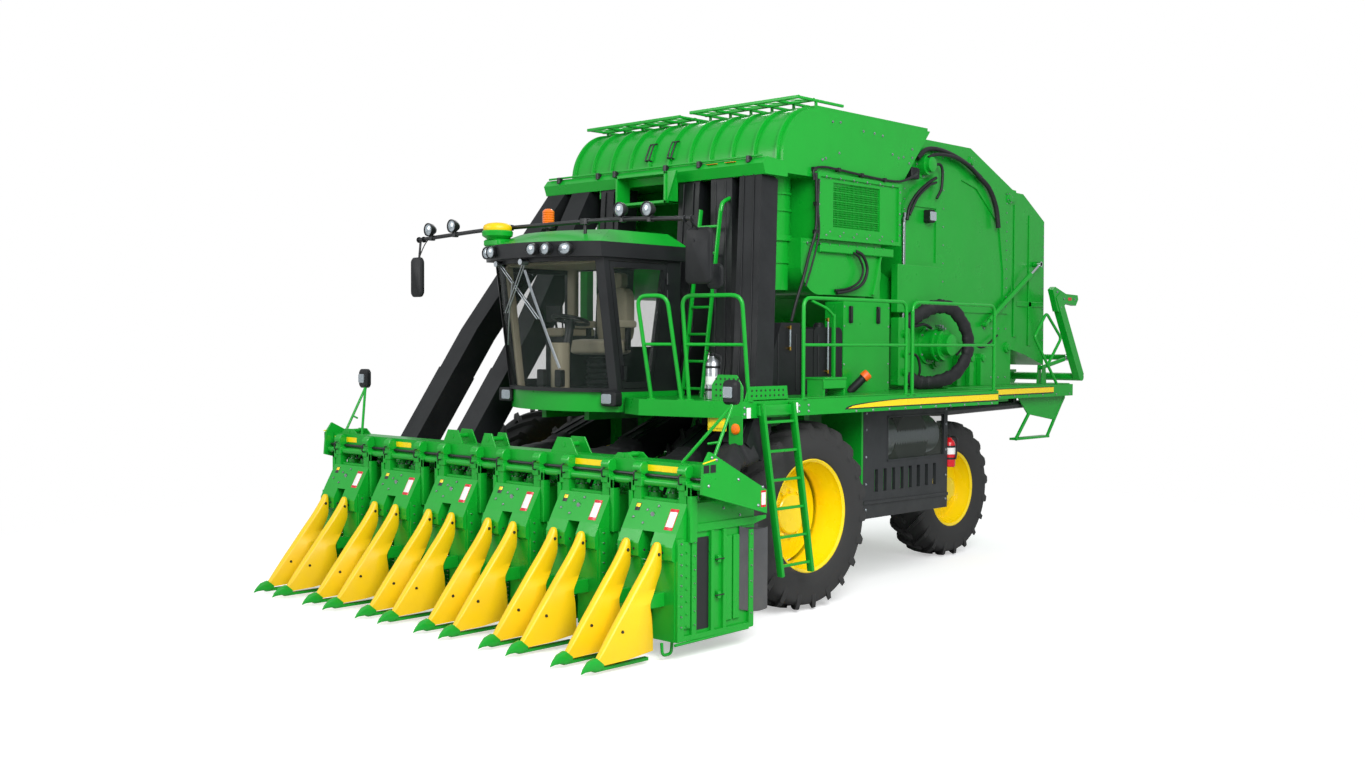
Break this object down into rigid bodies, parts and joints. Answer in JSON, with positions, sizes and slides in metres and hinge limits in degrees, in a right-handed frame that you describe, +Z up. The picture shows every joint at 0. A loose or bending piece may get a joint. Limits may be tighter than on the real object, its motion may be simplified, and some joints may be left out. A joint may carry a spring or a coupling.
{
  "type": "cotton picker machine",
  "caption": "Self-propelled cotton picker with row units on a front header, cab, air ducts, cotton bin and a rear round-module chamber with gate and handler.",
  "frame": {"origin": "centre of the overall box at ground level", "axes": "+X to the machine's left, +Y to its rear, +Z up"},
  "size_m": [5.91, 10.73, 5.3194],
  "materials": {
    "green_paint": "gloss",
    "yellow_paint": "gloss",
    "black_paint": "satin",
    "red_paint": "gloss",
    "yellow_plastic": "gloss",
    "black_plastic": "matt",
    "tyre_rubber": "matt",
    "cab_glass": "clear",
    "lamp_white": "gloss",
    "beacon_amber": "gloss",
    "seat_fabric": "matt",
    "engine_iron": "satin",
    "chromed_steel": "polished"
  },
  "bodies": {
    "chassis": {"accumulator": "green_paint", "air_ducts": "black_paint", "bin_grilles": "black_paint", "bin_posts": "green_paint", "cab_base": "green_paint", "cab_frame": "black_paint", "cab_furniture": "seat_fabric", "cab_glass": "cab_glass", "cab_roof": "green_paint", "chamber_rollers": "black_paint", "chassis_frame": "green_paint", "deck_bearers": "green_paint", "deck_tanks": "black_plastic", "decks": "green_paint", "engine_bay_panels": "green_paint", "engine_block": "engine_iron", "exhaust_pipe": "black_paint", "extinguishers": "red_paint", "feeder_housing": "green_paint", "frame_brackets": "green_paint", "front_axle": "green_paint", "lamp_bar": "black_paint", "mirrors": "black_paint", "module_chamber": "green_paint", "rails_and_ladders": "green_paint", "rear_axle": "green_paint", "roof_beacons": "beacon_amber", "roof_visor": "black_paint", "service_cabinet": "green_paint", "side_guards": "black_paint", "tow_hitch": "green_paint", "work_lamps": "lamp_white"},
    "front_wheel_left": {"front_tyres_left": "tyre_rubber", "front_rims_left": "yellow_paint"},
    "front_wheel_right": {"front_tyres_right": "tyre_rubber", "front_rims_right": "yellow_paint"},
    "steering_left": {"knuckle_left": "green_paint"},
    "steering_right": {"knuckle_right": "green_paint"},
    "rear_wheel_left": {"rear_tyre_left": "tyre_rubber", "rear_rim_left": "yellow_paint"},
    "rear_wheel_right": {"rear_tyre_right": "tyre_rubber", "rear_rim_right": "yellow_paint"},
    "header": {"header_toolbar": "green_paint", "row_cases": "green_paint", "row_cabinets": "green_paint", "stalk_lifters": "yellow_plastic", "lifter_shoes": "green_paint", "unit_covers": "black_paint", "header_lamps": "lamp_white"},
    "duct_sleeves": {"duct_sleeves": "black_paint"},
    "lift_barrels": {"lift_barrels": "green_paint"},
    "lift_rods": {"lift_rods": "chromed_steel"},
    "cab_door": {"door_frame": "black_paint", "door_glass": "cab_glass"},
    "gate": {"gate_shell": "green_paint"},
    "gate_barrels": {"gate_barrels": "green_paint"},
    "gate_rods": {"gate_rods": "chromed_steel"},
    "handler": {"handler_frame": "green_paint"},
    "handler_barrels": {"handler_barrels": "green_paint"},
    "handler_rods": {"handler_rods": "chromed_steel"}
  },
  "joints": [
    {"name": "front_wheel_left_spin", "type": "hinge", "parent": "chassis", "child": "front_wheel_left", "pos_m": [1.447, -1.765, 0.975], "axis": [1, 0, 0], "continuous": true},
    {"name": "steer_left", "type": "hinge", "parent": "chassis", "child": "steering_left", "pos_m": [0.64, 2.405, 0.872], "axis": [0, 0, 1], "range_deg": [-30, 30]},
    {"name": "rear_wheel_left_spin", "type": "hinge", "parent": "steering_left", "child": "rear_wheel_left", "pos_m": [0.985, 2.405, 0.872], "axis": [1, 0, 0], "continuous": true},
    {"name": "front_wheel_right_spin", "type": "hinge", "parent": "chassis", "child": "front_wheel_right", "pos_m": [-1.447, -1.765, 0.975], "axis": [1, 0, 0], "continuous": true},
    {"name": "steer_right", "type": "hinge", "parent": "chassis", "child": "steering_right", "pos_m": [-0.64, 2.405, 0.872], "axis": [0, 0, 1], "range_deg": [-30, 30]},
    {"name": "rear_wheel_right_spin", "type": "hinge", "parent": "steering_right", "child": "rear_wheel_right", "pos_m": [-0.985, 2.405, 0.872], "axis": [1, 0, 0], "continuous": true},
    {"name": "header_lift", "type": "hinge", "parent": "chassis", "child": "header", "pos_m": [0, -2.065, 1.32], "axis": [-1, 0, 0], "range_deg": [0, 18]},
    {"name": "duct_slide", "type": "slide", "parent": "chassis", "child": "duct_sleeves", "axis": [0.196, 0.4501, 0.8712], "range_m": [0, 0.487]},
    {"name": "cab_door_swing", "type": "hinge", "parent": "chassis", "child": "cab_door", "pos_m": [0.864, -2.565, 3], "axis": [0, 0, 1], "range_deg": [0, 70]},
    {"name": "gate_open", "type": "hinge", "parent": "chassis", "child": "gate", "pos_m": [0, 3.735, 4.75], "axis": [1, 0, 0], "range_deg": [0, 65]},
    {"name": "handler_lower", "type": "hinge", "parent": "chassis", "child": "handler", "pos_m": [0, 5.275, 2.28], "axis": [-1, 0, 0], "range_deg": [0, 95]},
    {"name": "lift_cylinder_swing", "type": "hinge", "parent": "chassis", "child": "lift_barrels", "pos_m": [0, -2.285, 0.8], "axis": [-1, 0, 0], "range_deg": [0, 15.4]},
    {"name": "lift_rod_slide", "type": "slide", "parent": "lift_barrels", "child": "lift_rods", "axis": [0, -0.8428, 0.5382], "range_m": [0, 0.1708]},
    {"name": "gate_cylinder_swing", "type": "hinge", "parent": "chassis", "child": "gate_barrels", "pos_m": [0, 2.935, 3], "axis": [1, 0, 0], "range_deg": [0, 14.86]},
    {"name": "gate_rod_slide", "type": "slide", "parent": "gate_barrels", "child": "gate_rods", "axis": [0, 0.8564, 0.5163], "range_m": [0, 1.04]},
    {"name": "handler_cylinder_swing", "type": "hinge", "parent": "chassis", "child": "handler_barrels", "pos_m": [0, 4.355, 2.42], "axis": [-1, 0, 0], "range_deg": [0, 9.58]},
    {"name": "handler_rod_slide", "type": "slide", "parent": "handler_barrels", "child": "handler_rods", "axis": [0, 0.9851, 0.1719], "range_m": [0, 0.45]}
  ],
  "couplings": [
    {"joint": "steer_right", "follows": "steer_left", "ratio": 1},
    {"joint": "duct_slide", "follows": "header_lift", "m_per_rad": 1.5438},
    {"joint": "lift_cylinder_swing", "follows": "header_lift", "ratio": 0.84423},
    {"joint": "lift_rod_slide", "follows": "header_lift", "m_per_rad": 0.53724},
    {"joint": "gate_cylinder_swing", "follows": "gate_open", "ratio": 0.22549},
    {"joint": "gate_rod_slide", "follows": "gate_open", "m_per_rad": 0.91496},
    {"joint": "handler_cylinder_swing", "follows": "handler_lower", "ratio": 0.09878},
    {"joint": "handler_rod_slide", "follows": "handler_lower", "m_per_rad": 0.2702}
  ]
}
